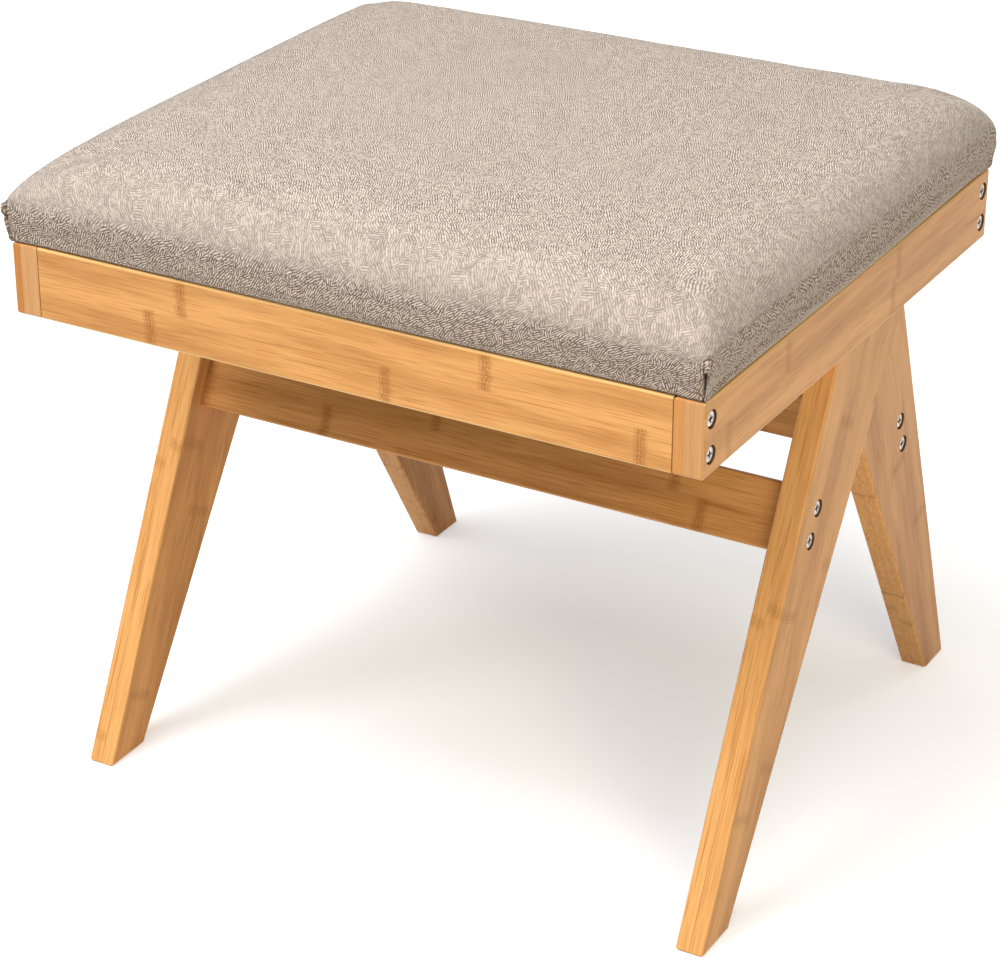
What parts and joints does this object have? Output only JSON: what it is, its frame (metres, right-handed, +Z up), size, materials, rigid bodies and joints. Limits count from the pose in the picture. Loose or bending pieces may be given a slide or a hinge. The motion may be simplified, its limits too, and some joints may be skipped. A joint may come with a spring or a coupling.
{
  "type": "footstool",
  "caption": "Low upholstered footstool: bamboo rail frame on tapered V-shaped legs with stretchers, recessed cross-head screws and a crowned woven-fabric seat.",
  "frame": {"origin": "on the floor, under the middle of the part's box", "axes": "+X to the right as seen from the front, +Y to the rear, +Z up; the front faces -Y"},
  "size_m": [0.5138, 0.4934, 0.467],
  "materials": {
    "bamboo": "satin lacquer",
    "screw_steel": "zinc plated",
    "plywood": "raw",
    "foam": "open cell",
    "woven_cover": "woven melange",
    "dust_cloth": "non-woven"
  },
  "bodies": {
    "root": {"left_side_rail": "bamboo", "right_side_rail": "bamboo", "front_rail": "bamboo", "rear_rail": "bamboo", "front_left_leg": "bamboo", "front_right_leg": "bamboo", "rear_left_leg": "bamboo", "rear_right_leg": "bamboo", "front_stretcher": "bamboo", "rear_stretcher": "bamboo", "front_cleat": "bamboo", "rear_cleat": "bamboo", "seat_board": "plywood", "foam_pad": "foam", "upholstery_cover": "woven_cover", "dust_cover": "dust_cloth", "rail_screws": "screw_steel", "front_stretcher_screws": "screw_steel", "rear_stretcher_screws": "screw_steel", "leg_screws": "screw_steel", "cleat_screws": "screw_steel", "seat_screws": "screw_steel", "cover_staples": "screw_steel"}
  },
  "joints": []
}
